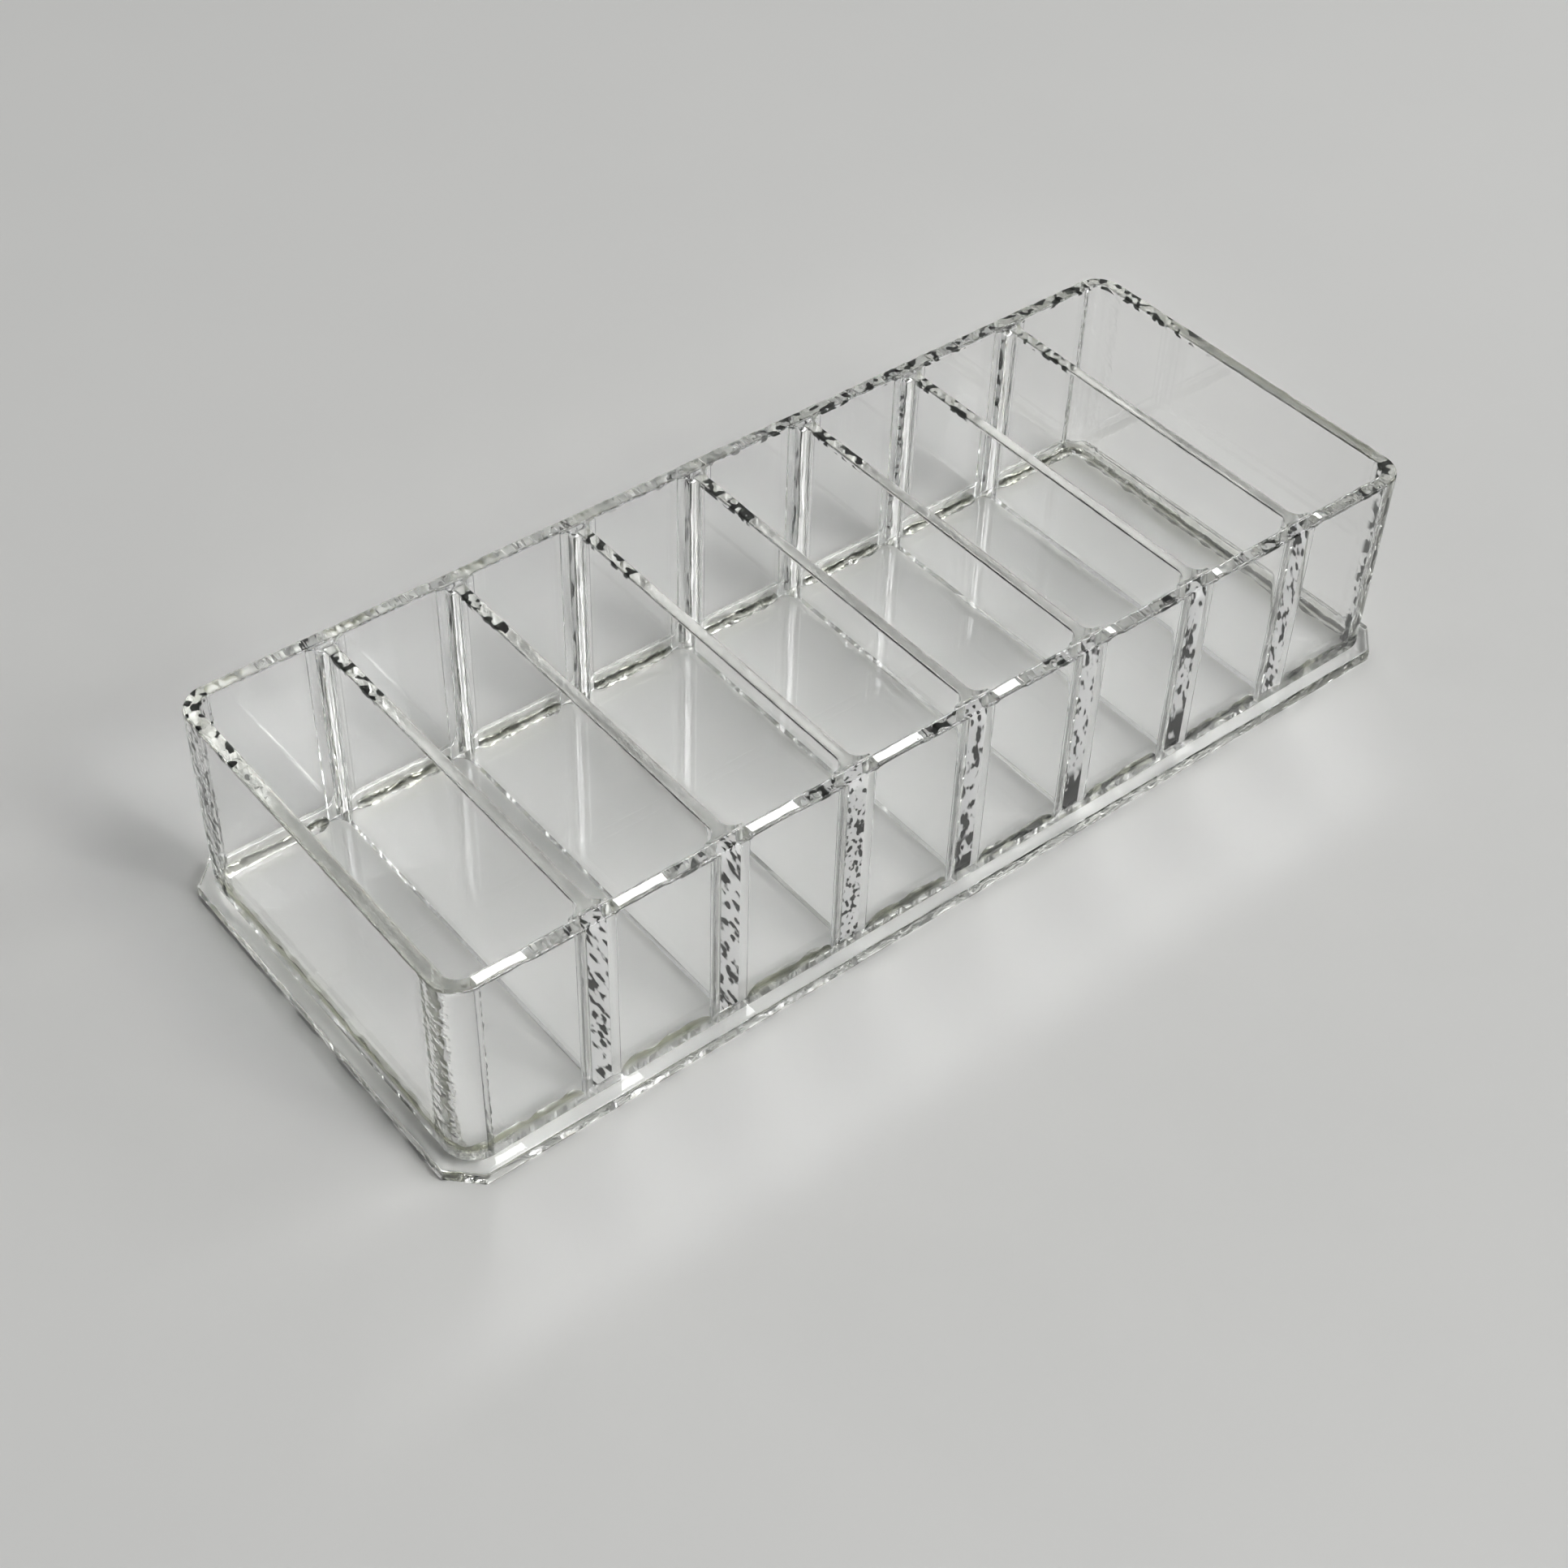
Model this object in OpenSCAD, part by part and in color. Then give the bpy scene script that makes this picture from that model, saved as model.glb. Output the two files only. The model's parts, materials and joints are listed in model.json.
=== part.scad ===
// Clear vanity organizer: a long open tray of equal compartments in a row.
// Flat clear sheet is bonded up: a base plate, two long walls, two end walls
// that are bent round the corners, and a row of dividers with flared feet.
// The origin is the centre of the base plate's underside. +Z is up, the row
// of compartments runs along X, and the long wall at -Y is the front.

/* [Compartments] */
// Number of compartments in the row
slots = 8; // [3:1:12]
// Clear width of one compartment, along the row
slot_w = 25; // [15:0.5:60]
// Clear depth of a compartment, from the front wall to the back wall
slot_d = 81; // [40:0.5:160]
// Clear height of a compartment, from the base plate to the rim
slot_h = 43; // [15:0.5:90]

/* [Sheet] */
// Thickness of the wall sheet
wall_t = 3; // [2:0.25:6]
// Thickness of a divider between its feet
divider_t = 2.5; // [1.5:0.25:5]
// Thickness of the base plate
base_t = 3; // [2:0.25:6]

/* [Base plate] */
// How far the base plate stands out past the walls, all the way round
base_lip = 2.75; // [1:0.25:8]
// Leg of the straight cut across each corner of the base plate
corner_cut = 5.5; // [2:0.25:8]

/* [Corners and feet] */
// Inside radius of the bends in the end walls
bend_r = 3; // [1:0.25:8]
// Radius of the concave flare at each end of a divider
flare_r = 2.75; // [0.5:0.25:5]
// Thickness of the flat foot that each flare ends in, against the wall
foot_t = 0.4; // [0.2:0.1:1.5]

/* [Hidden] */

// Facets of an arc
$fn = 64;
// Distance from one divider to the next
pitch = slot_w + divider_t;
// Clear length inside the two end walls
inner_l = slots * slot_w + (slots - 1) * divider_t;
// Length and width over the walls
body_l = inner_l + 2 * wall_t;
body_w = slot_d + 2 * wall_t;
// Outside radius of a bend
bend_outer = bend_r + wall_t;
// Length and width of the base plate
plate_l = body_l + 2 * base_lip;
plate_w = body_w + 2 * base_lip;
// Length of a long wall, which stops where the bends begin
long_wall_l = body_l - 2 * bend_outer;
// Width of a divider's foot along the wall
foot_w = divider_t + 2 * flare_r;
// Distance from the foot's face to where the flare has run out
flare_reach = foot_t + flare_r;

// Name of divider i, counted from the left end
function divider_name(i) = str("divider_", i);

// Rectangle with a straight cut across each corner
module cut_rectangle(length, width, cut) {
    half_l = length / 2;
    half_w = width / 2;
    polygon([
        [-half_l + cut, -half_w], [half_l - cut, -half_w],
        [half_l, -half_w + cut], [half_l, half_w - cut],
        [half_l - cut, half_w], [-half_l + cut, half_w],
        [-half_l, half_w - cut], [-half_l, -half_w + cut]
    ]);
}

// Quarter of the end wall's bend, with its centre at the origin
module bend_plan() {
    intersection() {
        difference() {
            circle(bend_outer);
            circle(bend_r);
        }
        square(bend_outer);
    }
}

// Plan of the right end wall: a straight stretch between two bends
module end_wall_plan() {
    straight_w = body_w - 2 * bend_outer;
    translate([body_l / 2 - wall_t, -straight_w / 2])
        square([wall_t, straight_w]);
    for (side = [0, 1])
        mirror([0, side])
            translate([body_l / 2 - bend_outer, straight_w / 2])
                bend_plan();
}

// One flared end of a divider, with its foot along the wall at +Y
module flared_end() {
    translate([0, slot_d / 2 - flare_reach])
        difference() {
            translate([-foot_w / 2, 0])
                square([foot_w, flare_reach]);
            for (side = [-1, 1])
                translate([side * foot_w / 2, 0])
                    circle(flare_r);
        }
}

// Plan of a divider, centred on its own web
module divider_plan() {
    web_w = slot_d - 2 * flare_reach;
    translate([-divider_t / 2, -web_w / 2])
        square([divider_t, web_w]);
    for (side = [0, 1])
        mirror([0, side])
            flared_end();
}

// Stands a plan on the base plate and raises it to the rim
module upright() {
    translate([0, 0, base_t])
        linear_extrude(slot_h)
            children();
}

module base_plate() {
    color([0.90, 0.93, 0.91, 0.45])
        linear_extrude(base_t)
            cut_rectangle(plate_l, plate_w, corner_cut);
}

// side is -1 for the front wall and 1 for the back wall
module long_wall(side) {
    color([0.86, 0.90, 0.89, 0.40])
        upright()
            translate([0, side * (body_w - wall_t) / 2])
                square([long_wall_l, wall_t], center = true);
}

module front_wall() { long_wall(-1); }

module back_wall() { long_wall(1); }

module right_end_wall() {
    color([0.80, 0.86, 0.86, 0.40])
        upright()
            end_wall_plan();
}

module left_end_wall() {
    mirror([1, 0, 0])
        right_end_wall();
}

// Divider i stands between compartments i and i + 1
module divider(i) {
    color([0.92, 0.95, 0.96, 0.35])
        upright()
            translate([(i - slots / 2) * pitch, 0])
                divider_plan();
}

base_plate();
front_wall();
back_wall();
left_end_wall();
right_end_wall();
for (i = [1 : slots - 1])
    divider(i);
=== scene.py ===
# %% [markdown]
# # A clear vanity organizer, dressed around its CAD model
#
# The real object is a long open tray of clear acrylic sheet: a base plate, two long walls,
# two end walls that are bent round the corners, and seven dividers with flared feet.
# Nearly all of its look comes from light that goes through the sheet, or runs inside it and
# leaves at an edge. So this lesson is about clean closed meshes, edges with a real round and
# real dents on them, cemented joints with crinkled hollows, and a studio that gives light.
# The CAD model is the fixed frame: each big piece here stands in the place of one CAD node.

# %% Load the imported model, and keep the box that it fills
import json
import math

import bmesh
import bpy
from mathutils import Matrix, Vector, geometry, noise

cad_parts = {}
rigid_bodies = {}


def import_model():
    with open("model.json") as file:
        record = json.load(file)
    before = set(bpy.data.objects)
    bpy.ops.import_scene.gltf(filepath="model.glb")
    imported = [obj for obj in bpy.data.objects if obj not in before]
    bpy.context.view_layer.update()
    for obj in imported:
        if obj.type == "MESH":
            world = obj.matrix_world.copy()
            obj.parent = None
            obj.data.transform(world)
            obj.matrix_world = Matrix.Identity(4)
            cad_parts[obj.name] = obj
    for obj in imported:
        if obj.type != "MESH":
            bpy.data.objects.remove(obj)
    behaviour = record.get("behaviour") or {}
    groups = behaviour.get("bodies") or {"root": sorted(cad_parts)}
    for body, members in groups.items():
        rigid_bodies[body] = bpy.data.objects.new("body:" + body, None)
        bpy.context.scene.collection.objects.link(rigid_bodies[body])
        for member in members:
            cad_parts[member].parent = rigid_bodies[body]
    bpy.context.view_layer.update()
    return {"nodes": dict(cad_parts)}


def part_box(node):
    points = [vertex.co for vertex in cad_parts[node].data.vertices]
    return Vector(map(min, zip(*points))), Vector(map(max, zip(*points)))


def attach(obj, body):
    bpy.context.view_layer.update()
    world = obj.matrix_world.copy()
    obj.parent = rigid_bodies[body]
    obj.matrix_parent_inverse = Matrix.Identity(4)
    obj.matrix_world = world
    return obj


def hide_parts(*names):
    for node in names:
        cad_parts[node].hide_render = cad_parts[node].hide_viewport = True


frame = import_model()
scene = bpy.context.scene
MM = 0.001
print("CAD nodes:", sorted(frame["nodes"]))


# %% [markdown]
# ## The camera
#
# The photograph looks down on the near left corner. The four corners of the base, the corners
# of the rim and the ends of the dividers gave the viewing direction, the distance and a small
# roll. A camera could be aimed with a Track To constraint, but a matrix that is built from
# three named angles states the roll as well, and nothing has to be solved again later.

# %% Stand the camera where the photograph was taken
HEADING = math.radians(40.23)
LOOK_DOWN = math.radians(44.61)
ROLL = math.radians(2.12)
CAMERA_REACH = 463.5 * MM
CAMERA_TARGET = Vector((-22.9, -17.1, 20.0)) * MM
FOCAL_LENGTH = 58.0
SENSOR_WIDTH = 36.0


def photo_camera():
    data = bpy.data.cameras.new("photo_camera")
    data.lens = FOCAL_LENGTH
    data.sensor_width = SENSOR_WIDTH
    camera = bpy.data.objects.new("photo_camera", data)
    scene.collection.objects.link(camera)
    flat = math.cos(LOOK_DOWN)
    ahead = Vector((math.sin(HEADING) * flat, math.cos(HEADING) * flat, -math.sin(LOOK_DOWN)))
    level = Vector((math.cos(HEADING), -math.sin(HEADING), 0.0))
    above = level.cross(ahead)
    right = math.cos(ROLL) * level + math.sin(ROLL) * above
    up = math.cos(ROLL) * above - math.sin(ROLL) * level
    place = Matrix((right, up, -ahead)).transposed().to_4x4()
    place.translation = CAMERA_TARGET - CAMERA_REACH * ahead
    camera.matrix_world = place
    return camera


scene.camera = photo_camera()
print("camera at", [round(v, 3) for v in scene.camera.matrix_world.translation])


# %% [markdown]
# ## Sizes that the pieces share
#
# The frame's boxes give each node's place, so the pieces are measured off the CAD and not
# typed again. Only what a box can't say is repeated here: how thick a divider's web is, the
# radius of its flare, how thin the flare gets at its foot, and how far the base's corners
# are cut off.

# %% Read the frame's boxes
plate_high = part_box("base_plate")[1]
front_low, front_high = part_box("front_wall")
back_low, back_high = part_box("back_wall")
right_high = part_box("right_end_wall")[1]
DIVIDERS = sorted(name for name in frame["nodes"] if name.startswith("divider_"))

base_top = plate_high.z
rim_z = front_high.z
wall_t = front_high.y - front_low.y
half_wall = wall_t / 2
front_y = (front_low.y + front_high.y) / 2
bend_x = front_high.x
bend_outer = right_high.x - bend_x
bend_middle = bend_outer - half_wall
HALF_WEB = 1.25 * MM
FLARE_R = 2.75 * MM
FOOT_T = 0.4 * MM
FOOT_HALF = HALF_WEB + FLARE_R
CORNER_CUT = 5.5 * MM
divider_x = [sum(corner.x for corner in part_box(name)) / 2 for name in DIVIDERS]
PITCH = divider_x[1] - divider_x[0]
print("rim at", round(rim_z / MM, 2), "mm; sheet", round(wall_t / MM, 2), "mm thick; dividers at",
      [round(x / MM, 1) for x in divider_x])


# %% [markdown]
# ## Closed meshes for clear pieces
#
# A ray that enters clear acrylic has to find a face where it leaves again, so each piece is
# one closed mesh. Two sheets that only touch would share a face in the same place, and the
# renderer would then miss one of the two and trap the light. Cement in the real joint lets
# the light pass. Here each piece reaches a hair, BOND, into its neighbour: the ray enters
# the second piece just before it leaves the first, and the two bends cancel, as in cement.
#
# Flat faces are shaded smooth up to a sharp angle, and every rounded edge has a narrow guard
# strip beside it, so that the shading of the round doesn't spill over the flat face.

# %% Helpers: a closed mesh as a piece, and a skin over rings
BOND = 0.02 * MM
GUARD = 0.12 * MM
ROUND_STEPS = 5
SHARP_ANGLE = math.radians(32)


def as_piece(name, shape, material, soft_faces=()):
    """Turns a bmesh into a piece. Edges between soft faces stay smooth at any angle."""
    bmesh.ops.recalc_face_normals(shape, faces=shape.faces)
    soft = set(soft_faces)
    for face in shape.faces:
        face.smooth = True
    for edge in shape.edges:
        inside = all(face in soft for face in edge.link_faces)
        edge.smooth = inside or edge.calc_face_angle(0.0) < SHARP_ANGLE
    mesh = bpy.data.meshes.new(name)
    shape.to_mesh(mesh)
    shape.free()
    mesh.materials.append(material)
    piece = bpy.data.objects.new(name, mesh)
    scene.collection.objects.link(piece)
    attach(piece, "root")
    return piece


def skin(shape, rings):
    """Joins closed rings of points, one after another, and returns the rows of vertices."""
    rows = [[shape.verts.new(point) for point in ring] for ring in rings]
    count = len(rows[0])
    for row, following in zip(rows, rows[1:]):
        for i in range(count):
            j = (i + 1) % count
            shape.faces.new((row[i], row[j], following[j], following[i]))
    return rows


# %% Helpers: smooth random values along an edge, and the steps of a round
SEED_SPACING = 7.31
NOISE_PLANE = 0.37


def wobble(along, cell, seed):
    """Smooth random value from -1 to 1 at a distance along an edge.

    Seeds lie so far apart in the noise that a quarter of a seed already gives unlike values.
    """
    return noise.noise(Vector((along / cell, SEED_SPACING * seed, NOISE_PLANE)))


def quarter(k):
    """Angle of step k of a quarter round."""
    return 0.5 * math.pi * k / ROUND_STEPS


print("bond", BOND / MM, "mm; rounds in", ROUND_STEPS, "steps")


# %% [markdown]
# ## Short ways to build a node tree
#
# The materials are node trees, and those are long to write out link by link. Each helper here
# adds one node, feeds it and hands back its result, so that a finish reads like a formula.
# What is fed in may be a plain number or colour, or the output of an earlier node.

# %% Helpers: feed a node, and reckon with values
def feed(tree, socket, value):
    """Links a socket to a node's output, or sets a plain value on it."""
    if isinstance(value, bpy.types.NodeSocket):
        tree.links.new(value, socket)
    else:
        socket.default_value = value


def maths(tree, operation, *values):
    """A Math node on one value or more, and its result."""
    node = tree.nodes.new("ShaderNodeMath")
    node.operation = operation
    for socket, value in zip(node.inputs, values):
        feed(tree, socket, value)
    return node.outputs[0]


def product(tree, a, b):
    return maths(tree, "MULTIPLY", a, b)


def ramp(tree, value, start, end):
    """0 at start and before it, 1 at end and beyond it."""
    node = tree.nodes.new("ShaderNodeMapRange")
    feed(tree, node.inputs["Value"], value)
    feed(tree, node.inputs["From Min"], start)
    feed(tree, node.inputs["From Max"], end)
    return node.outputs[0]


# %% Helpers: noise, colours and bumps
# places of a Mix node's two colours among its inputs, and of its colour among its outputs
MIX_FIRST, MIX_SECOND, MIX_RESULT = 6, 7, 2


def smooth_noise(tree, cells, detail):
    """Noise at a place that is counted in cells, so its own scale is 1."""
    node = tree.nodes.new("ShaderNodeTexNoise")
    feed(tree, node.inputs["Vector"], cells)
    feed(tree, node.inputs["Scale"], 1.0)
    feed(tree, node.inputs["Detail"], detail)
    return node.outputs[0]


def mixed_colour(tree, factor, first, second, blend="MIX"):
    node = tree.nodes.new("ShaderNodeMix")
    node.data_type = "RGBA"
    node.blend_type = blend
    feed(tree, node.inputs["Factor"], factor)
    feed(tree, node.inputs[MIX_FIRST], first)
    feed(tree, node.inputs[MIX_SECOND], second)
    return node.outputs[MIX_RESULT]


def add_bump(tree, shader, height, strength, distance):
    """Feeds a Height to the shader's Normal, on top of any bump that is there already."""
    node = tree.nodes.new("ShaderNodeBump")
    feed(tree, node.inputs["Height"], height)
    feed(tree, node.inputs["Strength"], strength)
    feed(tree, node.inputs["Distance"], distance)
    normal_in = shader.inputs["Normal"]
    if normal_in.is_linked:
        feed(tree, node.inputs["Normal"], normal_in.links[0].from_socket)
    feed(tree, normal_in, node.outputs["Normal"])


# %% Helpers: where on the object a point lies
def place_on_object(tree):
    return tree.nodes.new("ShaderNodeTexCoord").outputs["Object"]


def in_cells(tree, place, cell, turn=0.0):
    """The place counted in cells of a size in mm, turned about Y by an angle in degrees."""
    for label, value in (("Rotation", (0, math.radians(turn), 0)),
                         ("Scale", [1 / (size * MM) for size in cell])):
        node = tree.nodes.new("ShaderNodeMapping")
        feed(tree, node.inputs["Vector"], place)
        feed(tree, node.inputs[label], value)
        place = node.outputs[0]
    return place


# %% [markdown]
# ## Two effects that several finishes share
#
# Node groups keep an effect in one place. `sheet_ripple` is the faint unevenness of drawn and
# heated sheet: long low waves, which only show where they bend what lies behind. It gives a
# Height, and each material feeds that to its own Bump node. A Zone holds it to one place, such
# as the bends, where the hot sheet wrinkled.
#
# The dark glints group paints shade onto edges and cement. A dent in a clear edge turns some light away
# from the eye, and such spots look nearly black beside the bright ones. Instead of real dents finer
# than a mesh can carry, this mask paints those dark spots as painted shade, a painted dark reflection:
# a noise, cut off at a threshold and held inside a zone. It gives a colour for Base Color, so the
# shader itself stays plain clear acrylic.

# %% Make node groups with named inputs and outputs
RIPPLE_DETAIL = 1.5
GLINT_DETAIL = 0.6


def new_group(name, inputs, output, output_kind):
    """An empty group, its input sockets by name, and the one socket that it puts out."""
    group = bpy.data.node_groups.new(name, "ShaderNodeTree")
    for label, kind, value in inputs:
        socket = group.interface.new_socket(label, in_out="INPUT", socket_type=kind)
        if value is not None:
            socket.default_value = value
    group.interface.new_socket(output, in_out="OUTPUT", socket_type=output_kind)
    into = group.nodes.new("NodeGroupInput").outputs
    return group, into, group.nodes.new("NodeGroupOutput").inputs[output]


def sheet_ripple_group():
    group, into, out = new_group("sheet_ripple", (
        ("Vector", "NodeSocketVector", None),
        ("Depth", "NodeSocketFloat", 0.02),
        ("Zone", "NodeSocketFloat", 1.0),
    ), "Height", "NodeSocketFloat")
    waves = smooth_noise(group, into["Vector"], RIPPLE_DETAIL)
    deep = product(group, waves, into["Depth"])
    feed(group, out, product(group, deep, into["Zone"]))
    return group


# painted shade: near-black Base Color wherever the noise passes the threshold inside the zone
def painted_shade_glints_group():
    group, into, out = new_group("painted_shade_glints", (
        ("Vector", "NodeSocketVector", None),
        ("Zone", "NodeSocketFloat", 1.0),
        ("Threshold", "NodeSocketFloat", 0.6),
        ("Edge", "NodeSocketFloat", 0.04),
        ("Clear", "NodeSocketColor", (1, 1, 1, 1)),
        ("Dark", "NodeSocketColor", (0.0008, 0.0012, 0.0008, 1)),
    ), "Colour", "NodeSocketColor")
    blobs = smooth_noise(group, into["Vector"], GLINT_DETAIL)
    full = maths(group, "ADD", into["Threshold"], into["Edge"])
    dark = product(group, ramp(group, blobs, into["Threshold"], full), into["Zone"])
    feed(group, out, mixed_colour(group, dark, into["Clear"], into["Dark"]))
    return group


SHEET_RIPPLE = sheet_ripple_group()
PAINTED_SHADE_GLINTS = painted_shade_glints_group()
print("groups:", SHEET_RIPPLE.name, PAINTED_SHADE_GLINTS.name)


# %% [markdown]
# ## Clear acrylic
#
# Acrylic bends light by an index of 1.49 and has hardly any colour across its 3 mm. Along a
# wall, where the eye looks through several centimetres, it turns faintly olive. A painted
# edge could fake that, but Volume Absorption gives it for every path by itself.
# Transmission and roughness are plain numbers on the shader, and only the marks vary.
#
# The Transmission Weight says how clear a thing is. Sheet has 1. The cement's film has less: it
# dried whitish, and what it doesn't let through it scatters back as white.

# %% Build the clear materials
ACRYLIC_IOR = 1.49
SHEET_TINT = (0.80, 0.84, 0.70)
SHEET_DENSITY = 3.0


def clear_acrylic(name, tint=SHEET_TINT, density=SHEET_DENSITY, clearness=1.0):
    material = bpy.data.materials.new(name)
    material.use_nodes = True
    tree = material.node_tree
    shader = tree.nodes["Principled BSDF"]
    shader.inputs["Base Color"].default_value = (1, 1, 1, 1)
    shader.inputs["Roughness"].default_value = 0.0
    shader.inputs["IOR"].default_value = ACRYLIC_IOR
    shader.inputs["Transmission Weight"].default_value = clearness
    if density:
        inside = tree.nodes.new("ShaderNodeVolumeAbsorption")
        inside.inputs["Color"].default_value = (*tint, 1)
        inside.inputs["Density"].default_value = density
        tree.links.new(inside.outputs[0], tree.nodes["Material Output"].inputs["Volume"])
    return material


# %% Zones of the object that hold an effect
def between(tree, value, low, high, edge):
    """1 between low and high, fading to 0 over edge."""
    return product(tree, ramp(tree, value, low - edge, low), ramp(tree, value, high + edge, high))


def zone_mask(tree, place, zones, bay=None):
    """zones: (axis, low, high, edge) in mm, |X| and |Y| for both sides at once; all must hold.

    bay: (low, high, edge) in mm behind each divider, repeated bay by bay.
    """
    split = tree.nodes.new("ShaderNodeSeparateXYZ")
    feed(tree, split.inputs[0], place)
    parts = []
    for axis, low, high, edge in zones:
        value = split.outputs[axis.strip("|")]
        if axis.startswith("|"):
            value = maths(tree, "ABSOLUTE", value)
        parts.append(between(tree, value, low * MM, high * MM, edge * MM))
    if bay:
        first = divider_x[0]
        low, high, edge = (size * MM for size in bay)
        wrapped = maths(tree, "WRAP", split.outputs["X"], first + PITCH, first)
        parts.append(between(tree, wrapped, first + low, first + high, edge))
    zone = parts[0]
    for part in parts[1:]:
        zone = product(tree, zone, part)
    return zone


# %% Ripples for a sheet
def add_ripple(material, cell, depth, zones=()):
    """Called twice on one material, the second ripple lies on top of the first."""
    tree = material.node_tree
    place = place_on_object(tree)
    ripple = tree.nodes.new("ShaderNodeGroup")
    ripple.node_tree = SHEET_RIPPLE
    feed(tree, ripple.inputs["Vector"], in_cells(tree, place, cell))
    feed(tree, ripple.inputs["Depth"], depth * MM)
    if zones:
        feed(tree, ripple.inputs["Zone"], zone_mask(tree, place, zones))
    add_bump(tree, tree.nodes["Principled BSDF"], ripple.outputs["Height"], 1.0, 1.0)


# %% Painted dark glints (painted shade), held inside zones of the object
def add_painted_shade_glints(material, cell, turn, threshold, zones=(), bay=None, clear=(1, 1, 1), edge=0.04):
    """Paints dark glints into Base Color as painted shade; clear is the sheet's colour between them.

    Called twice on one material, the second mask darkens on top of the first.
    """
    tree = material.node_tree
    place = place_on_object(tree)
    glints = tree.nodes.new("ShaderNodeGroup")
    glints.node_tree = PAINTED_SHADE_GLINTS
    feed(tree, glints.inputs["Vector"], in_cells(tree, place, cell, turn))
    feed(tree, glints.inputs["Threshold"], threshold)
    feed(tree, glints.inputs["Edge"], edge)
    feed(tree, glints.inputs["Clear"], (*clear, 1))
    if zones:
        feed(tree, glints.inputs["Zone"], zone_mask(tree, place, zones, bay))
    colour = glints.outputs["Colour"]
    colour_in = tree.nodes["Principled BSDF"].inputs["Base Color"]
    if colour_in.is_linked:
        colour = mixed_colour(tree, 1.0, colour_in.links[0].from_socket, colour, "MULTIPLY")
    feed(tree, colour_in, colour)


# %% [markdown]
# ## Which finish goes where
#
# On the real tray the base is the calmest sheet. A thin dark line is painted along its foot, solid at
# the left end and broken along the front: a painted shadow where the plate meets the table. The end
# walls were drawn and then bent over a hot wire, so they show long faint lines along the wall and small
# wrinkles at their bends. Dark glints are painted along the polished tops of the walls and the dividers
# as painted shade: on the long walls towards the right end, on the end walls' rims and at two of their
# bends, and on every divider close to the back wall.
#
# Handling has left a trace of haze on every face, so a ray pays a few percent each time it
# goes through a wall. The tints stand for that, and it is what makes the inside of the tray a
# little darker than the table around it.

# %% Finishes of the sheets
# a zone is (axis, low, high, edge) in mm, and EVER stands for no limit
RIM_MM = rim_z / MM
EVER = 1000
TOP_BAND = ("Z", RIM_MM - 0.9, EVER, 0.2)
AFTER_BAR = (16.3, 20.0, 0.5)
CORNERS = (("|X|", 108.8, EVER, 1.0), ("|Y|", 35.0, EVER, 1.0))
LEFT_FOOT_PAINTED_SHADOW = (("Z", -1, 0.40, 0.15), ("X", -EVER, -113.9, 0.1))
FRONT_FOOT_PAINTED_SHADOW = (("Z", -1, 0.35, 0.15), ("Y", -EVER, -45.8, 0.1))
PLATE_TINT = (0.990, 0.990, 0.990)
WALL_TINT = (0.954, 0.955, 0.955)

base_finish = clear_acrylic("base_clear")
add_ripple(base_finish, (34, 34, 34), 0.02)
# painted shadow: a thin dark line along the plate's foot, solid at the left end, broken along the front
add_painted_shade_glints(base_finish, (7, 7, 1.5), 0, 0.40, LEFT_FOOT_PAINTED_SHADOW, clear=PLATE_TINT)
add_painted_shade_glints(base_finish, (3, 3, 1.5), 0, 0.50, FRONT_FOOT_PAINTED_SHADOW)

end_finish = clear_acrylic("end_wall_clear")
add_ripple(end_finish, (1.6, 40, 1.6), 0.004)
add_ripple(end_finish, (1.8, 1.8, 1.9), 0.16, CORNERS)
RIGHT_RIM = (TOP_BAND, ("X", 60, EVER, 1), ("Y", 14, EVER, 8))
LEFT_RIM = (TOP_BAND, ("X", -EVER, -60, 1), ("Y", 20, EVER, 6))
NEAR_RIGHT_BEND = (("X", 106.4, EVER, 0.7), ("Y", -EVER, -37.4, 0.7))
FAR_LEFT_BEND = (("X", -EVER, -104, 1), ("Y", 34, EVER, 2))
# painted dark glints (painted shade) on the end walls' rims and at two bends
add_painted_shade_glints(end_finish, (1.6, 2.0, 1.4), 0, 0.53, RIGHT_RIM, clear=WALL_TINT)
add_painted_shade_glints(end_finish, (2.0, 2.0, 2.6), 20, 0.50, NEAR_RIGHT_BEND)
add_painted_shade_glints(end_finish, (1.7, 1.7, 1.9), 0, 0.60, FAR_LEFT_BEND)
add_painted_shade_glints(end_finish, (1.7, 2.0, 1.4), 0, 0.59, LEFT_RIM)

wall_finish = clear_acrylic("long_wall_clear")
add_ripple(wall_finish, (26, 26, 30), 0.03)
BACK_RIM = (TOP_BAND, ("X", 20, EVER, 60), ("Y", 0, EVER, 1))
FRONT_RIM = (TOP_BAND, ("X", -60, EVER, 50), ("Y", -EVER, 0, 1))
# painted dark glints (painted shade) along the back rim, and along the front rim just after each bar
add_painted_shade_glints(wall_finish, (2.0, 1.5, 1.4), 0, 0.55, BACK_RIM, clear=WALL_TINT)
add_painted_shade_glints(wall_finish, (2.6, 1.6, 1.2), 0, 0.46, FRONT_RIM, AFTER_BAR)

divider_finish = clear_acrylic("divider_clear")
add_ripple(divider_finish, (24, 30, 30), 0.03)
NEXT_TO_BACK_WALL = (TOP_BAND, ("Y", 31.5, 36.5, 0.6))
FURTHER_IN = (TOP_BAND, ("Y", 22, 29, 1.0))
# painted dark glints (painted shade) on each divider's top close to the back wall
add_painted_shade_glints(divider_finish, (1.6, 1.7, 1.4), 0, 0.47, NEXT_TO_BACK_WALL, clear=WALL_TINT)
add_painted_shade_glints(divider_finish, (1.6, 2.2, 1.4), 0, 0.50, FURTHER_IN)
print("sheet finishes:", base_finish.name, end_finish.name, wall_finish.name, divider_finish.name)
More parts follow.
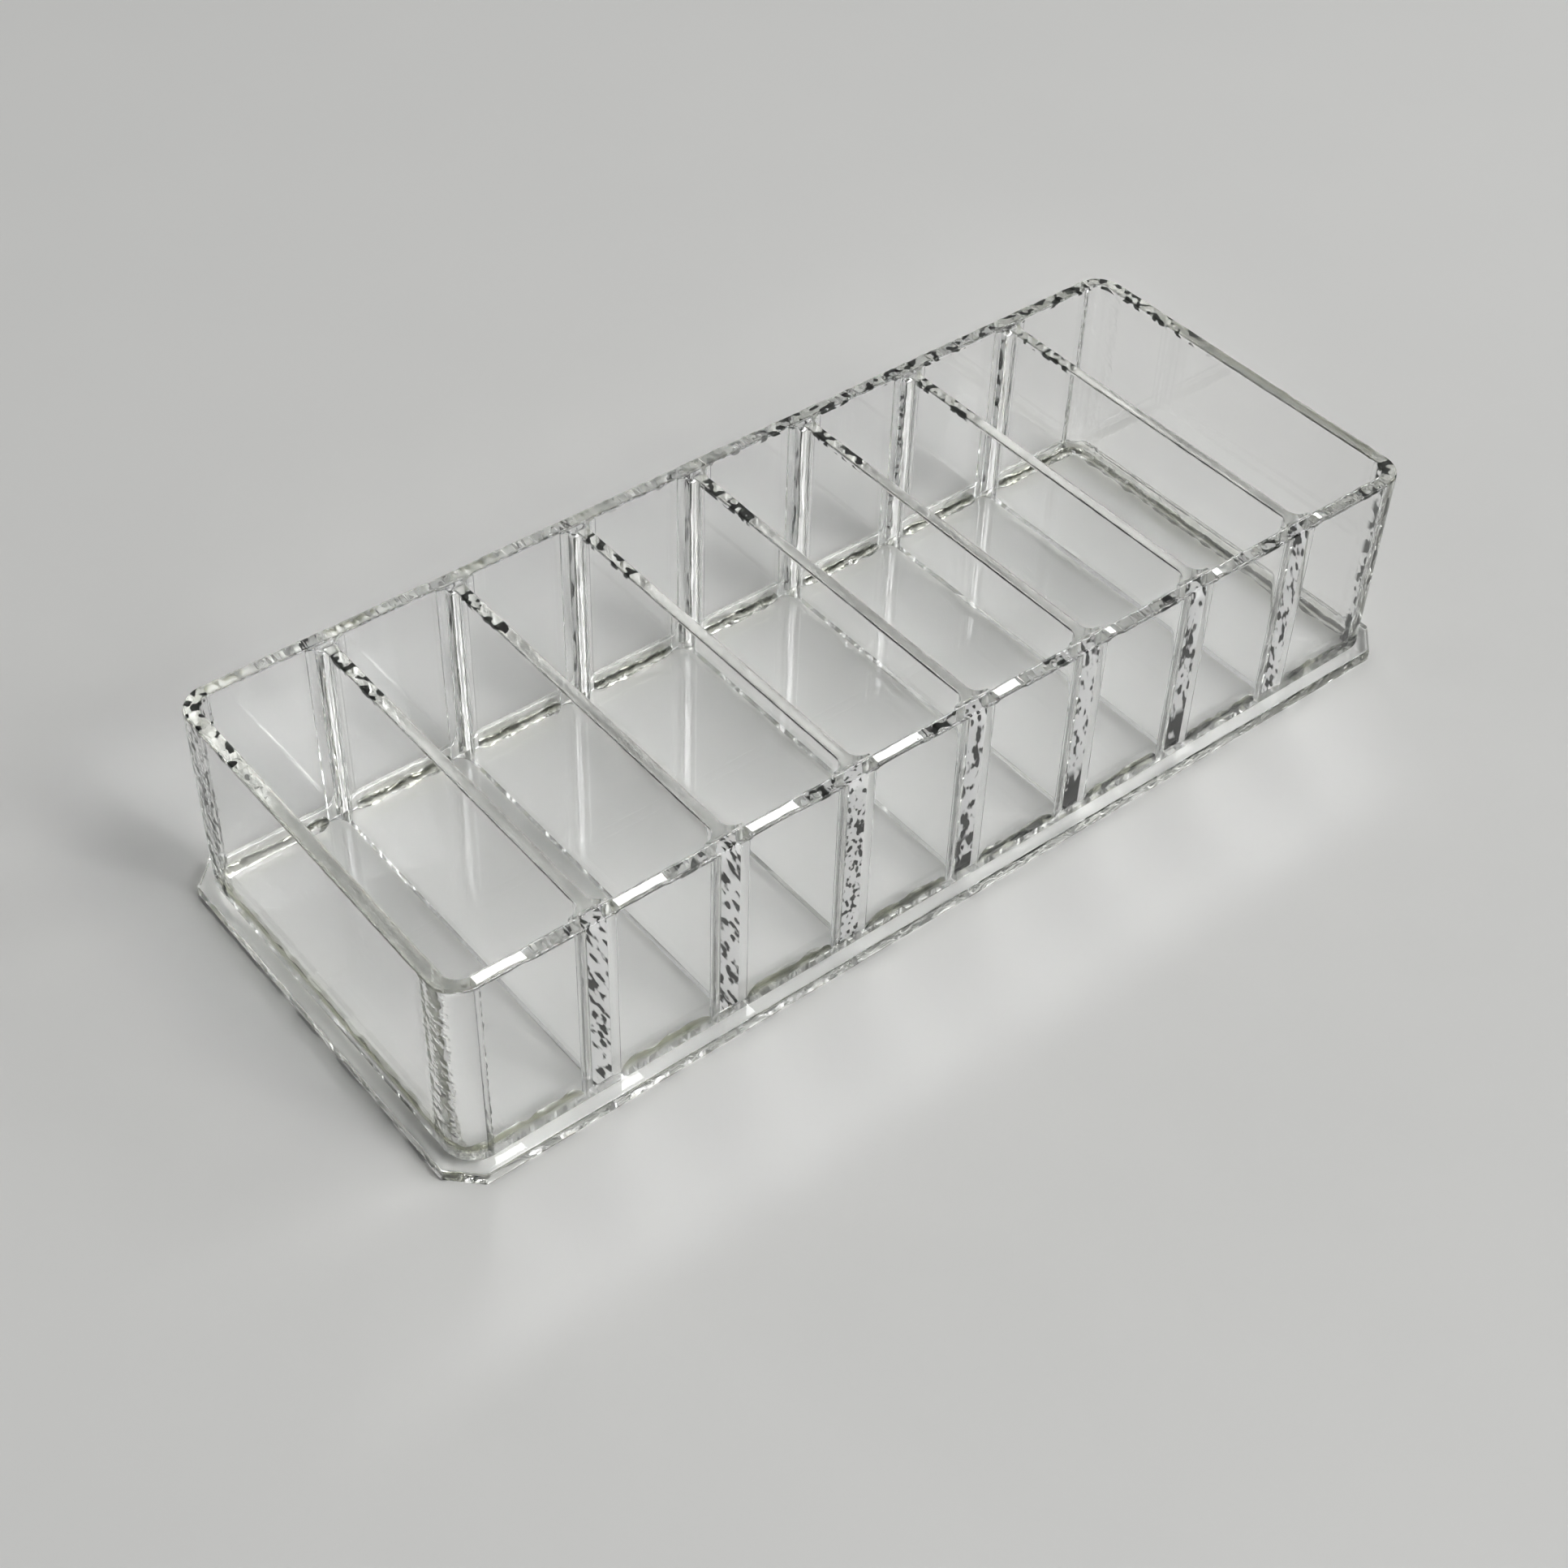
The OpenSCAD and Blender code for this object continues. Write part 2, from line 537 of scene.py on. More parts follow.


# %% [markdown]
# ## Cement
#
# The dividers are set against the long walls with solvent cement. Where it didn't run, the joint holds
# a crinkled whitish film with air behind it, which gives the bright strokes down every joint. The dark
# strokes between them are painted into the film's colour: painted shade for the light that the crinkles
# turn away. Near the left end the strokes are long and slanted, then they get short and mottled, and
# towards the right end they are big blots with a painted dark foot. At the back they run straight down,
# with a painted dark foot too. The painted strokes are soft at their borders (STROKE_EDGE). The bead
# along the foot of the walls is tinted a strong olive, and towards the right end it is broken by
# painted dark dashes.

# %% Finishes of the cement
# size of a painted dark stroke in mm (across, through, up), its lean in degrees, and the mask's
# threshold
STROKES = {
    "slanted": ((0.62, 3.0, 3.2), 24, 0.52),
    "mottled": ((0.75, 3.0, 1.2), 15, 0.52),
    "blotted": ((1.0, 3.0, 2.2), 8, 0.52),
    "faint": ((0.8, 3.0, 2.4), 20, 0.51),
    "upright": ((0.55, 3.0, 4.0), 0, 0.54),
}
FILM_CLEARNESS = 0.40
STROKE_EDGE = 0.11
cement = {}
for look, (cell, lean, threshold) in STROKES.items():
    cement[look] = clear_acrylic("cement_" + look, density=0.0, clearness=FILM_CLEARNESS)
    # the dark strokes are painted shade in the film's Base Color
    add_painted_shade_glints(cement[look], cell, lean, threshold, edge=STROKE_EDGE)
# painted dark foot (painted shade) low on the front blotted joints
add_painted_shade_glints(cement["blotted"], (2.6, 2.6, 5.0), 6, 0.42, (("Y", -EVER, 0, 1), ("Z", -1, 12, 2)))
# painted dark foot (painted shade) low on the back joints
add_painted_shade_glints(cement["upright"], (1.4, 3.0, 1.2), 0, 0.46, (("Y", 0, EVER, 1), ("Z", -1, 6, 1)))

BEAD_TINT = (0.60, 0.61, 0.48)
BEAD_DENSITY = 1000.0
bead_finish = clear_acrylic("cement_bead", BEAD_TINT, BEAD_DENSITY)
add_ripple(bead_finish, (0.9, 0.9, 0.9), 0.05)
# painted dark dashes (painted shade) on the front bead towards the right end
FRONT_FOOT = (("X", 0, EVER, 70), ("Y", -EVER, -38, 1), ("Z", -1, 4.4, 0.4))
add_painted_shade_glints(bead_finish, (3.2, 2.0, 2.0), 0, 0.47, FRONT_FOOT)
print("cement finishes:", sorted(cement))


# %% [markdown]
# ## The base plate
#
# The base is a cut plate that sticks out all round as a lip, with its four corners cut off.
# A cube with a Bevel modifier would be too perfect: the real edge was sawn and rubbed down,
# so its lower edge wanders a little and breaks the light into short streaks. The plate is
# skinned over rings that run round its outline, and each ring may wander by its own amount.

# %% Outline of the plate, and a ring round it
PLATE_STEP = 0.8 * MM
TOP_ROUND = 0.6 * MM
BOTTOM_ROUND = 0.35 * MM
LOW_WANDER = 0.12 * MM
LOW_LIFT = 0.06 * MM
TOP_WANDER = 0.08 * MM
SWAY_CELL, SWAY_SEED = 4.5 * MM, 3
RISE_CELL, RISE_SEED = 3.1 * MM, 5


def cut_outline(inset):
    """Corner points of the plate with its corners cut off, drawn in by inset."""
    half_l, half_w = plate_high.x - inset, plate_high.y - inset
    cut = CORNER_CUT - inset * (2 - math.sqrt(2))
    return [Vector(c) for c in (
        (half_l - cut, -half_w), (half_l, -half_w + cut),
        (half_l, half_w - cut), (half_l - cut, half_w),
        (-half_l + cut, half_w), (-half_l, half_w - cut),
        (-half_l, -half_w + cut), (-half_l + cut, -half_w),
    )]


def plate_ring(inset, z, sway, rise):
    """One ring round the plate, worn back by up to sway and moved in z by up to rise."""
    full, corners = cut_outline(0.0), cut_outline(inset)
    points = []
    walked = 0.0
    for i in range(len(corners)):
        j = (i + 1) % len(corners)
        a, b = corners[i], corners[j]
        steps = max(2, round((full[j] - full[i]).length / PLATE_STEP))
        out = Vector((b.y - a.y, a.x - b.x)).normalized()
        for k in range(steps):
            s = walked + k * PLATE_STEP
            p = a.lerp(b, k / steps) - out * sway * abs(wobble(s, SWAY_CELL, SWAY_SEED))
            points.append((p.x, p.y, z + rise * abs(wobble(s, RISE_CELL, RISE_SEED))))
        walked += steps * PLATE_STEP
    return points


# %% Skin the plate
UNDERSIDE_INSET = 3.0 * MM
GUARD_WANDER = 0.3 * LOW_WANDER


def plate_rings():
    """Rings from the underside, round the lower and the upper edge, to the top."""
    rings = [plate_ring(UNDERSIDE_INSET, 0, 0, 0), plate_ring(BOTTOM_ROUND + GUARD, 0, GUARD_WANDER, 0)]
    for k in range(ROUND_STEPS + 1):
        in_by = BOTTOM_ROUND * (1 - math.sin(quarter(k)))
        z = BOTTOM_ROUND * (1 - math.cos(quarter(k)))
        rings.append(plate_ring(in_by, z, LOW_WANDER, LOW_LIFT))
    for k in range(ROUND_STEPS + 1):
        in_by = TOP_ROUND * (1 - math.cos(quarter(k)))
        down = TOP_ROUND * (1 - math.sin(quarter(k)))
        rings.append(plate_ring(in_by, base_top - down, TOP_WANDER, 0))
    rings.append(plate_ring(TOP_ROUND + GUARD, base_top, 0, 0))
    rings.append(plate_ring(TOP_ROUND + 2 * GUARD, base_top, 0, 0))
    return rings


shape = bmesh.new()
rows = skin(shape, plate_rings())
shape.faces.new(rows[0])
shape.faces.new(rows[-1])
base = as_piece("base_plate_clear", shape, base_finish)
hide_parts("base_plate")
print("base plate:", len(base.data.polygons), "faces")


# %% [markdown]
# ## Crinkled fields in the cemented joints
#
# Each end of a divider is flat where it is bonded, with a shallow hollow in its middle. On
# the wall's side of the hollow lies a film of cement with a crinkled surface. Light inside
# the wall meets steep little slopes there and is thrown back or let through. A bump map alone
# could not do it: the slopes are steeper than a bump can bend light without showing black,
# and the hollow needs two real surfaces with air between them.
#
# The hollow's rim is joined to the divider's outline by filling the flat ring between them,
# so the whole end stays one closed mesh.

# %% The crinkle, and a grid of points over a joint
FIELD_STEP_U = 0.2 * MM
FIELD_STEP_Z = 0.3 * MM
FIELD_LOW = base_top + 0.7 * MM
FIELD_HIGH = rim_z - 1.1 * MM
FADE_STEPS = 2
COARSE, FINE = 1.5, 0.6
FINE_SEED = 31


def crinkle(t, z, look):
    """Smooth random value, about -1 to 1, drawn out along slanted strokes.

    look: seed, cell in metres, length of a stroke in cells, slant.
    """
    seed, cell, long, slant = look
    size = math.hypot(1.0, slant)
    across, along = (t + slant * z) / size, (slant * t - z) / size
    coarse = noise.noise(Vector((across / cell, along / (long * cell), seed)))
    fine = noise.noise(Vector((2 * across / cell, 2 * along / (long * cell), seed + FINE_SEED)))
    return COARSE * coarse + FINE * fine


def field_rows(shape, middle, across, inward, half_u, depth_at):
    """A grid of vertices over a joint, pushed along inward, with its faces and its border."""
    nu = 2 * round(half_u / FIELD_STEP_U)
    nz = round((FIELD_HIGH - FIELD_LOW) / FIELD_STEP_Z)
    grid = []
    for v in range(nz + 1):
        z = FIELD_LOW + (FIELD_HIGH - FIELD_LOW) * v / nz
        row = []
        for u in range(nu + 1):
            t = -half_u + 2 * half_u * u / nu
            fade = min(FADE_STEPS, u, nu - u, v, nz - v) / FADE_STEPS
            p = middle + across * t + inward * fade * depth_at(t, z)
            row.append(shape.verts.new((p.x, p.y, z)))
        grid.append(row)
    faces = []
    for low, high in zip(grid, grid[1:]):
        for u in range(nu):
            faces.append(shape.faces.new((low[u], low[u + 1], high[u + 1], high[u])))
    border = grid[0] + [row[-1] for row in grid[1:]]
    border += grid[-1][-2::-1] + [row[0] for row in grid[-2:0:-1]]
    return faces, border


# %% A cap with a hollow, and a film of cement
CAP_SEED = 3


def hollow_cap(shape, ring, middle, across, inward, half_u, hollow, depth, look):
    """Closes a ring of vertices with a flat cap that has a crinkled hollow in its middle."""
    other = (look[0] + CAP_SEED, *look[1:])
    faces, border = field_rows(
        shape, middle, across, inward, half_u, lambda t, z: hollow + depth * crinkle(t, z, other))
    loops = (list(ring), border)
    flat = [[Vector((v.co.xy.dot(across), v.co.z, 0)) for v in loop] for loop in loops]
    corners = loops[0] + loops[1]
    for triangle in geometry.tessellate_polygon(flat):
        shape.faces.new([corners[i] for i in triangle])
    return faces


def cement_film(name, middle, across, inward, half_u, rest, depth, look, material):
    """A film of cement, flat and bonded on one side, crinkled on the side of the hollow."""
    shape = bmesh.new()
    soft, border = field_rows(
        shape, middle + inward * 2 * BOND, across, inward, half_u,
        lambda t, z: max(0.0, rest + depth * crinkle(t, z, look)))
    sunk = inward * 4 * BOND
    back = [shape.verts.new((v.co.x - sunk.x, v.co.y - sunk.y, v.co.z)) for v in border]
    for i in range(len(border)):
        j = (i + 1) % len(border)
        shape.faces.new((border[i], border[j], back[j], back[i]))
    shape.faces.new(back)
    return as_piece(name, shape, material, soft)


print("a joint's field is", round((FIELD_HIGH - FIELD_LOW) / MM, 1), "mm high")


# %% [markdown]
# ## Upright sheets
#
# Walls and dividers are all the same kind of thing: a sheet that stands on edge along a path.
# So one function skins them. At each station of the path it lays a section across the sheet,
# with a round on both top edges. The rim is where the eye looks, so its dents are real
# geometry: a small function for each kind of wall says how far the rim sags at a place, and
# how far it leans to one side, where it was flamed and pressed.

# %% Section of a sheet, and the piece that is skinned over its stations
RIM_ROUND = 0.55 * MM
DIVIDER_ROUND = 0.4 * MM
SHEET_STEP = 0.7 * MM
LONG_WALL_STEP = 0.3 * MM
ROUND_SWAY = 0.35
OUTER_CELL, INNER_CELL = 3.3 * MM, 2.9 * MM
CALM_SAG = 0.10 * MM
CALM_CELL = 2.2 * MM


def sheet_section(half, round_out, round_in, sag, lean):
    """Points (distance outwards, height) round the sheet, from its outer foot to its inner foot."""
    top = rim_z - sag - abs(lean)
    low = base_top - BOND
    ring = [(half, low), (half, top - round_out - GUARD)]
    for k in range(ROUND_STEPS + 1):
        a = quarter(k)
        ring.append((half - round_out * (1 - math.cos(a)), top - round_out * (1 - math.sin(a))))
    ring += [(half - round_out - GUARD, top), (-half + round_in + GUARD, top)]
    for k in range(ROUND_STEPS, -1, -1):
        a = quarter(k)
        ring.append((-half + round_in * (1 - math.cos(a)), top - round_in * (1 - math.sin(a))))
    ring += [(-half, top - round_in - GUARD), (-half, low)]
    return [(n, z - lean * n / half if z > low else z) for n, z in ring]


def calm_rim(centre, walked, seed):
    """Sag and lean of a rim with small dents."""
    return CALM_SAG * (0.5 + 0.5 * wobble(walked, CALM_CELL, seed + 0.25)), 0.0


def upright_sheet(name, stations, seed, material,
                  rim_round=RIM_ROUND, caps=None, rim=calm_rim):
    """stations: (centre, outward direction, half thickness) along the sheet's path.

    caps: half width, depth and crinkle of the hollow at both ends, and the two looks.
    """
    rings = []
    walked = 0.0
    before = stations[0][0]
    for centre, out, half in stations:
        walked += (centre - before).length
        before = centre
        outer = rim_round * (1 + ROUND_SWAY * wobble(walked, OUTER_CELL, seed))
        inner = rim_round * (1 + ROUND_SWAY * wobble(walked, INNER_CELL, seed + 0.5))
        sag, lean = rim(centre, walked, seed)
        rings.append([
            (centre.x + out.x * n, centre.y + out.y * n, z)
            for n, z in sheet_section(half, outer, inner, sag, lean)
        ])
    shape = bmesh.new()
    rows = skin(shape, rings)
    soft = []
    ends = ((0, rows[0], stations[0], stations[1]), (1, rows[-1], stations[-1], stations[-2]))
    for end, row, (centre, out, half), following in ends:
        if caps is None:
            shape.faces.new(row)
        else:
            half_u, hollow, depth, looks = caps
            inward = (following[0] - centre).normalized()
            soft += hollow_cap(shape, row, centre, out, inward, half_u, hollow, depth, looks[end])
    return as_piece(name, shape, material, soft)


# %% [markdown]
# ## The two long walls
#
# The front wall's rim is the brightest line of the object. After each divider a stretch of
# it is flat and polished and mirrors one long lamp as a white bar: long bars in the first
# bays, short ones towards the right end. From there to the next divider it leans outwards by
# a few degrees and is dented, so the bar breaks up into grey crinkles. The back wall's rim is
# dented all along.

# %% Rims of the long walls
# along each bay, counted from the divider before it
BAR_START = 3.3 * MM
BAR_ENDS = [end * MM for end in (14.0, 14.0, 14.0, 14.0, 10.5, 6.5, 6.5, 6.5)]
BAR_FADE_IN, BAR_FADE_OUT = 0.3 * MM, 1.5 * MM
# in mm, where the front rim isn't calm: its least sag, and what the dents add
FRONT_SAG_LEAST, FRONT_SAG = 0.02, 0.16
FRONT_LEAN = 0.15 * MM
BACK_SAG = 0.24 * MM
BACK_LEAN, BACK_LEAN_CELL = 0.10 * MM, 1.3 * MM
DENT_CELL, FINE_DENT_CELL = 1.5 * MM, 0.8 * MM


def dents(walked, seed):
    fine = abs(wobble(walked, FINE_DENT_CELL, seed + 2))
    return abs(wobble(walked, DENT_CELL, seed)) + 0.5 * fine


def barred_rim(centre, walked, seed):
    """Sag and lean of the front rim: none along a bar, dented and leaning outwards elsewhere."""
    bay, phase = divmod(centre.x - divider_x[0] + PITCH, PITCH)
    calm = min(1.0, max(0.0, (phase - BAR_START) / BAR_FADE_IN))
    calm *= min(1.0, max(0.0, (BAR_ENDS[int(bay)] - phase) / BAR_FADE_OUT))
    sag = (FRONT_SAG_LEAST + FRONT_SAG * dents(walked, seed)) * MM
    return (1 - calm) * sag, (1 - calm) * FRONT_LEAN


def dented_rim(centre, walked, seed):
    return BACK_SAG * dents(walked, seed), BACK_LEAN * wobble(walked, BACK_LEAN_CELL, seed + 5)


# %% Skin the long walls
def straight_stations(start, end, out, half, spacing=SHEET_STEP):
    count = round((end - start).length / spacing)
    return [(start.lerp(end, k / count), out, half) for k in range(count + 1)]


WALL_CORE = 1.2 * MM
WALL_HOLLOW = 0.26 * MM
WALL_CRINKLE = 0.22 * MM
WALL_STROKES = (0.9 * MM, 2.0, 0.4)
WALL_JOINT_SEEDS = (2.1, 4.7)
LONG_WALL_SEED = 11

LONG_WALLS = (
    ("front_wall", front_low, front_high, -1, barred_rim),
    ("back_wall", back_low, back_high, 1, dented_rim),
)
for name, low, high, side, rim in LONG_WALLS:
    y = (low.y + high.y) / 2
    path = straight_stations(
        Vector((low.x, y)), Vector((high.x, y)), Vector((0, side)), half_wall, LONG_WALL_STEP)
    looks = [(seed + side, *WALL_STROKES) for seed in WALL_JOINT_SEEDS]
    wall = upright_sheet(
        name + "_clear", path, LONG_WALL_SEED + side, wall_finish,
        caps=(WALL_CORE, WALL_HOLLOW, WALL_CRINKLE, looks), rim=rim)
    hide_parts(name)
    print(name, len(wall.data.polygons), "faces")


# %% [markdown]
# ## The two end walls
#
# An end wall is one sheet that was bent twice, so it wraps round both corners and meets the
# long walls a little way along them. The same section follows a path with two quarter
# circles in it. The outward direction turns with the path, which keeps the sheet's
# thickness the same all the way round the bend.

# %% Path of an end wall, and its pieces
BEND_STEPS = 12
END_WALL_SEED = 21
bend_y = front_low.y + bend_outer


def bend_stations(side, end):
    """Stations round one bend, from the long wall on: end is -1 at the front, 1 at the back."""
    stations = []
    for k in range(BEND_STEPS + 1):
        a = 0.5 * math.pi * k / BEND_STEPS
        out = Vector((side * math.sin(a), end * math.cos(a)))
        stations.append((Vector((side * bend_x, -end * bend_y)) + out * bend_middle, out, half_wall))
    return stations


def end_wall_stations(side):
    joint_x = side * (bend_x - BOND)
    x = side * (bend_x + bend_middle)
    straight = straight_stations(
        Vector((x, bend_y)), Vector((x, -bend_y)), Vector((side, 0)), half_wall)
    return [
        (Vector((joint_x, front_y)), Vector((0, -1)), half_wall),
        *bend_stations(side, -1),
        *straight[1:-1],
        *bend_stations(side, 1)[::-1],
        (Vector((joint_x, -front_y)), Vector((0, 1)), half_wall),
    ]


for name, side in (("left_end_wall", -1), ("right_end_wall", 1)):
    wall = upright_sheet(
        name + "_clear", end_wall_stations(side), END_WALL_SEED + side, end_finish)
    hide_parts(name)
    print(name, len(wall.data.polygons), "faces")


# %% [markdown]
# ## The seven dividers and their joints
#
# A divider is a thin web that flares to a wide foot at both walls. Its path is a straight
# line again, and only the half thickness changes along it: a quarter circle at each end.
# Every joint has its own seed and its own kind of stroke, as the photograph shows.

# %% Path of a divider
FLARE_STEPS = 10


def flare_rows(y_foot, sign):
    """Rows (y, half thickness) from a foot at y_foot to where the web starts."""
    rows = [(y_foot - sign * BOND, FOOT_HALF)]
    for k in range(FLARE_STEPS + 1):
        a = 0.5 * math.pi * (1 - k / FLARE_STEPS)
        y = y_foot + sign * (FOOT_T + FLARE_R * (1 - math.sin(a)))
        rows.append((y, HALF_WEB + FLARE_R * (1 - math.cos(a))))
    return rows


def divider_stations(x, y_front, y_back):
    rows = flare_rows(y_front, 1)
    first, last = rows[-1][0], y_back - (rows[-1][0] - y_front)
    count = round((last - first) / SHEET_STEP)
    rows += [(first + (last - first) * k / count, HALF_WEB) for k in range(1, count)]
    rows += flare_rows(y_back, -1)[::-1]
    return [(Vector((x, y)), Vector((1, 0)), half) for y, half in rows]


# %% Build the dividers and the films in their joints
# kind of stroke, then its cell in mm, its length in cells, its slant and its height in mm
FRONT_JOINTS = (
    ("slanted", 1.3, 3.2, 0.5, 0.30),
    ("slanted", 1.3, 3.2, 0.5, 0.30),
    ("mottled", 1.1, 1.6, 0.3, 0.26),
    ("blotted", 1.6, 2.2, 0.2, 0.34),
    ("blotted", 1.8, 2.4, 0.2, 0.38),
    ("blotted", 1.8, 2.6, 0.2, 0.38),
    ("faint", 1.5, 3.0, 0.4, 0.22),
)
BACK_JOINTS = (
    ("upright", 1.5, 9.0, 0.0, 0.26),
    ("upright", 1.5, 9.0, 0.0, 0.26),
    ("upright", 1.3, 7.0, 0.1, 0.22),
    ("upright", 1.3, 7.0, 0.1, 0.22),
    ("upright", 1.5, 5.0, 0.1, 0.22),
    ("mottled", 1.1, 1.8, 0.2, 0.22),
    ("blotted", 1.5, 2.5, 0.2, 0.30),
)
CORE_HALF = 2.0 * MM
HOLLOW = 0.95 * MM
FILM_REST = 0.30 * MM
CAP_CRINKLE = 0.02 * MM
JOINT_SEED_STEP, BACK_SEED = 5.3, 50
DIVIDER_SEED, DIVIDER_SEED_STEP = 31, 2.3

for number, name in enumerate(DIVIDERS):
    low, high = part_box(name)
    x = divider_x[number]
    looks = []
    both_ends = (
        ("front", FRONT_JOINTS, low.y, Vector((0, 1)), 0),
        ("back", BACK_JOINTS, high.y, Vector((0, -1)), BACK_SEED),
    )
    for label, joints, y, inward, first_seed in both_ends:
        kind, cell, long, slant, stand = joints[number]
        look = (JOINT_SEED_STEP * number + first_seed, cell * MM, long, slant)
        looks.append(look)
        cement_film(
            f"cement_{label}_{number + 1}", Vector((x, y)) - inward * 2 * BOND, Vector((1, 0)), inward,
            CORE_HALF, FILM_REST, stand * MM, look, cement[kind])
    path = divider_stations(x, low.y, high.y)
    sheet = upright_sheet(
        name + "_clear", path, DIVIDER_SEED + DIVIDER_SEED_STEP * number,
        divider_finish, DIVIDER_ROUND, (CORE_HALF, HOLLOW, CAP_CRINKLE, looks))
    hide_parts(name)
print(len(DIVIDERS), "dividers and", 2 * len(DIVIDERS), "films of cement")


# %% [markdown]
# ## The bead of cement along the inner foot
#
# Cement that was drawn into the seam under the walls has squeezed out inside as a wavy bead.
# Through the front wall it shows as an olive line with a bright wavy top. It is a skin over
# small sections that grow and shrink along the wall, and it runs out before each divider.
# A curve with a bevel could make a bead too, but not one that lies flat on wall and floor.

# %% Section and run of a bead
BEAD_HIGH = 2.4 * MM
BEAD_WIDE = 1.5 * MM
BEAD_STEP = 0.45 * MM
BEAD_TAPER = 2.0 * MM
BEAD_LEAST = 0.12
BEAD_SWAY = 0.45
HIGH_CELL, WIDE_CELL = 2.8 * MM, 2.1 * MM
BELLY, BELLY_SWAY, BELLY_CELL = 0.38, 0.15, 1.7 * MM


def bead_section(high, wide, belly):
    """Points down the bead from the wall to the floor, in shares of its height and width."""
    inner = -half_wall
    return [
        (inner + BOND, base_top - BOND), (inner + BOND, base_top + high),
        (inner, base_top + high * 0.97), (inner - 0.25 * wide, base_top + high * (belly + 0.25)),
        (inner - 0.55 * wide, base_top + high * belly * 0.75), (inner - wide, base_top),
        (inner - wide - BOND, base_top - BOND),
    ]


def bead_run(shape, stations, seed):
    """One bead: stations are (centre of the wall, outward direction)."""
    lengths = [0.0]
    for (a, _), (b, _) in zip(stations, stations[1:]):
        lengths.append(lengths[-1] + (b - a).length)
    rings = []
    for (centre, out), s in zip(stations, lengths):
        taper = max(0.0, min(1.0, s / BEAD_TAPER, (lengths[-1] - s) / BEAD_TAPER))
        size = BEAD_LEAST + (1 - BEAD_LEAST) * math.sqrt(taper)
        high = BEAD_HIGH * size * (1 + BEAD_SWAY * wobble(s, HIGH_CELL, seed))
        wide = BEAD_WIDE * size * (1 + BEAD_SWAY * wobble(s, WIDE_CELL, seed + 0.4))
        belly = BELLY + BELLY_SWAY * wobble(s, BELLY_CELL, seed + 0.8)
        rings.append([
            (centre.x + out.x * n, centre.y + out.y * n, z)
            for n, z in bead_section(high, wide, belly)
        ])
    rows = skin(shape, rings)
    shape.faces.new(rows[0])
    shape.faces.new(rows[-1])


def bead_line(start, end, out):
    count = max(2, round((end - start).length / BEAD_STEP))
    return [(start.lerp(end, k / count), out) for k in range(count + 1)]


# %% Beads along the long walls and round the ends
LONG_BEAD_SEED, LONG_BEAD_SEED_STEP = 81, 3.1
END_BEAD_SEED = 95

for side, label in ((-1, "front"), (1, "back")):
    y = -side * front_y
    out = Vector((0, side))
    shape = bmesh.new()
    for number, (left, right) in enumerate(zip(divider_x, divider_x[1:])):
        line = bead_line(Vector((left + FOOT_HALF, y)), Vector((right - FOOT_HALF, y)), out)
        bead_run(shape, line, LONG_BEAD_SEED + LONG_BEAD_SEED_STEP * number + side)
    as_piece("cement_bead_" + label, shape, bead_finish)

for side, label in ((-1, "left"), (1, "right")):
    round_end = end_wall_stations(side)[1:-1]
    x_in = divider_x[0 if side < 0 else -1] + side * FOOT_HALF
    first = bead_line(Vector((x_in, front_y)), round_end[0][0], Vector((0, -1)))
    last = bead_line(round_end[-1][0], Vector((x_in, -front_y)), Vector((0, 1)))
    shape = bmesh.new()
    bead_run(shape, first[:-1] + [(c, o) for c, o, _ in round_end] + last[1:], END_BEAD_SEED + side)
    as_piece("cement_bead_" + label, shape, bead_finish)
print("beads along four sides")


# %% [markdown]
# ## The floor
#
# The photograph's table top is pale, matt and faintly mottled. It is stage, not part of the
# object. A single large face is enough; it lies a hair under the base, because a face that
# touches the clear plate would swallow the light that should pass between the two. Broad
# faint clouds and a fine grain keep it from looking like a screen.

# %% Make the floor
FLOOR_GAP = 0.15 * MM
FLOOR_REACH = 3.0
FLOOR_PALE = (0.815, 0.815, 0.795, 1)
FLOOR_DULL = (0.785, 0.787, 0.770, 1)
FLOOR_ROUGHNESS, FLOOR_GLOSS = 0.6, 0.15
CLOUD_CELL, CLOUD_DETAIL = (60, 60, 60), 6.0
GRAIN_CELL, GRAIN_DETAIL = (0.6, 0.6, 0.6), 2.0
GRAIN_DEPTH, GRAIN_STRENGTH = 0.02 * MM, 0.25


def floor_finish():
    material = bpy.data.materials.new("floor_pale")
    material.use_nodes = True
    tree = material.node_tree
    shader = tree.nodes["Principled BSDF"]
    shader.inputs["Roughness"].default_value = FLOOR_ROUGHNESS
    shader.inputs["Specular IOR Level"].default_value = FLOOR_GLOSS
    place = place_on_object(tree)
    clouds = smooth_noise(tree, in_cells(tree, place, CLOUD_CELL), CLOUD_DETAIL)
    grain = smooth_noise(tree, in_cells(tree, place, GRAIN_CELL), GRAIN_DETAIL)
    feed(tree, shader.inputs["Base Color"], mixed_colour(tree, clouds, FLOOR_PALE, FLOOR_DULL))
    add_bump(tree, shader, grain, GRAIN_STRENGTH, GRAIN_DEPTH)
    return material


def pale_floor():
    mesh = bpy.data.meshes.new("floor")
    corners = [(x * FLOOR_REACH, y * FLOOR_REACH, 0) for x, y in ((-1, -1), (1, -1), (1, 1), (-1, 1))]
    mesh.from_pydata(corners, [], [(0, 1, 2, 3)])
    mesh.materials.append(floor_finish())
    floor = bpy.data.objects.new("floor", mesh)
    scene.collection.objects.link(floor)
    floor.location.z = -FLOOR_GAP
    return floor


floor = pale_floor()
print("floor at", floor.location.z / MM, "mm")


